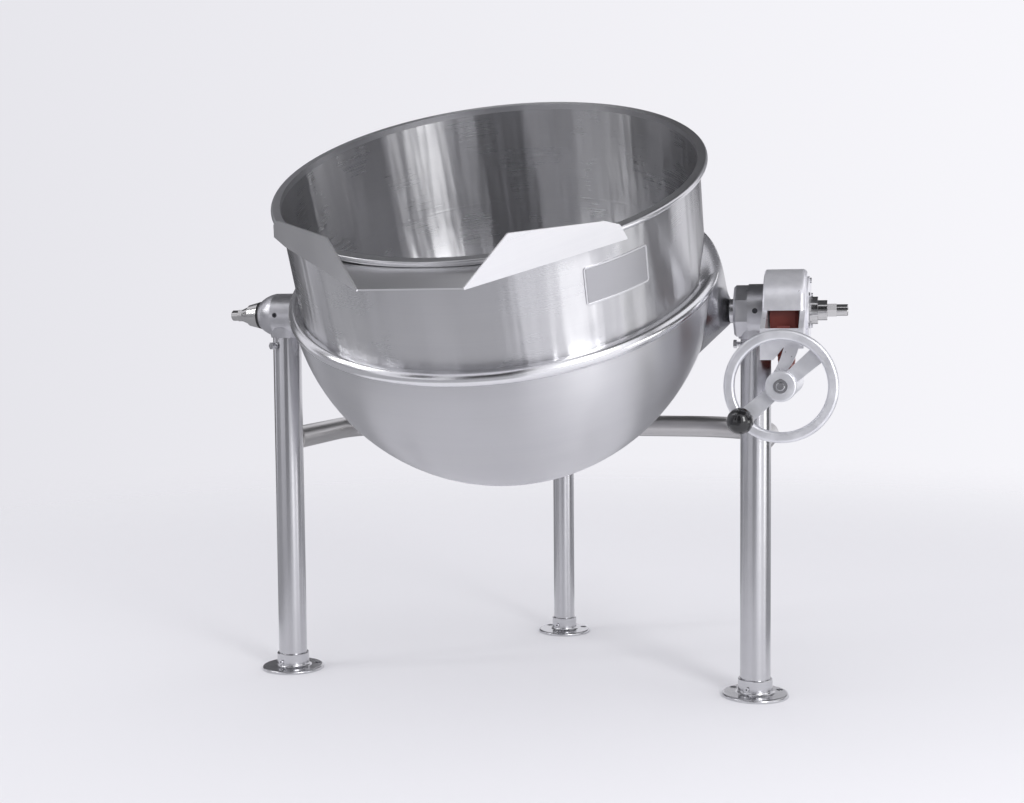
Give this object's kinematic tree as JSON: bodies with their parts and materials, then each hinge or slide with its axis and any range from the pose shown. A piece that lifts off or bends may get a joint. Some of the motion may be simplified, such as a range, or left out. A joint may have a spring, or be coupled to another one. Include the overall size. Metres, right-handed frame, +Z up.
{
  "type": "tilting steam jacketed kettle",
  "caption": "Floor standing steam jacketed kettle: a bowl with a pouring lip tilts on trunnions in a tubular stand, turned by a handwheel through a worm and a sector gear",
  "frame": {"origin": "centre of the rear foot on the floor", "axes": "+Z up, +X along the trunnions towards the gear housing and handwheel, +Y from the pouring lip towards the rear leg"},
  "size_m": [1.097, 0.9896, 1.0347],
  "materials": {
    "bowl_steel": "polished stainless steel with a fine vertical grain",
    "rim_steel": "polished rolled bar",
    "jacket_steel": "satin stainless steel",
    "ring_steel": "polished weld bead",
    "lip_steel": "brushed sheet",
    "saddle_steel": "satin cone",
    "trunnion_steel": "turned steel",
    "tube_copper": "drawn tube",
    "plate_aluminium": "bare satin plate with a raised border",
    "gear_iron": "red oxide primer with bright machined teeth",
    "key_steel": "bright key bar",
    "collar_steel": "turned collar",
    "swivel_steel": "polished turned steel",
    "gland_steel": "polished turned steel",
    "packing_polymer": "white packing ring",
    "nipple_steel": "polished tube with a hexagon",
    "housing_steel": "investment cast and blasted",
    "bush_bronze": "bored bronze",
    "seal_rubber": "black rubber",
    "plug_steel": "dark plug",
    "leg_steel": "satin tube",
    "brace_steel": "satin bent tube",
    "foot_steel": "turned foot",
    "fastener_steel": "bright fasteners",
    "case_steel": "satin case",
    "side_plate_steel": "satin cover",
    "worm_steel": "cut worm with a film of grease",
    "cap_steel": "turned cap",
    "wheel_aluminium": "satin cast aluminium",
    "knob_plastic": "gloss black"
  },
  "bodies": {
    "stand": {"left_leg": "leg_steel", "right_leg": "leg_steel", "rear_leg": "leg_steel", "brace_tube": "brace_steel", "left_foot": "foot_steel", "right_foot": "foot_steel", "rear_foot": "foot_steel", "foot_set_screws": "fastener_steel", "leg_set_bolts": "fastener_steel", "right_bearing_housing": "housing_steel", "left_bearing_housing": "housing_steel", "right_bush": "bush_bronze", "left_bush": "bush_bronze", "right_shaft_seal": "seal_rubber", "left_shaft_seal": "seal_rubber", "left_end_seal": "seal_rubber", "grease_plugs": "plug_steel", "gear_case": "case_steel", "case_screws": "fastener_steel", "side_plate": "side_plate_steel", "side_plate_screws": "fastener_steel", "worm_front_bush": "bush_bronze", "worm_end_cap": "cap_steel"},
    "kettle": {"inner_shell": "bowl_steel", "rim_ring": "rim_steel", "jacket": "jacket_steel", "jacket_ring": "ring_steel", "pouring_lip": "lip_steel", "right_saddle": "saddle_steel", "left_saddle": "saddle_steel", "right_trunnion": "trunnion_steel", "left_trunnion": "trunnion_steel", "condensate_tube": "tube_copper", "nameplate": "plate_aluminium", "sector_gear": "gear_iron", "gear_key": "key_steel", "gear_collar": "collar_steel", "right_swivel_body": "swivel_steel", "left_swivel_body": "swivel_steel", "right_swivel_gland": "gland_steel", "left_swivel_gland": "gland_steel", "right_packing": "packing_polymer", "left_packing": "packing_polymer"},
    "handwheel": {"worm_shaft": "worm_steel", "handwheel": "wheel_aluminium", "wheel_key": "key_steel", "hub_bolt": "fastener_steel", "hub_washer": "fastener_steel", "knob_stud": "fastener_steel", "ball_knob": "knob_plastic"},
    "right_nipple": {"right_nipple": "nipple_steel"},
    "left_nipple": {"left_nipple": "nipple_steel"}
  },
  "joints": [
    {"name": "kettle_tilt", "type": "hinge", "parent": "stand", "child": "kettle", "pos_m": [0, -0.401, 0.648], "axis": [1, 0, 0], "range_deg": [-26.29, 63.71]},
    {"name": "handwheel_spin", "type": "hinge", "parent": "stand", "child": "handwheel", "pos_m": [0.472, -0.401, 0.53], "axis": [0, 1, 0], "range_deg": [-4340, 1795]},
    {"name": "right_nipple_turn", "type": "hinge", "parent": "kettle", "child": "right_nipple", "pos_m": [0.54, -0.401, 0.648], "axis": [1, 0, 0], "continuous": true},
    {"name": "left_nipple_turn", "type": "hinge", "parent": "kettle", "child": "left_nipple", "pos_m": [-0.51, -0.401, 0.648], "axis": [1, 0, 0], "continuous": true}
  ],
  "couplings": [
    {"joint": "handwheel_spin", "follows": "kettle_tilt", "ratio": -68}
  ]
}
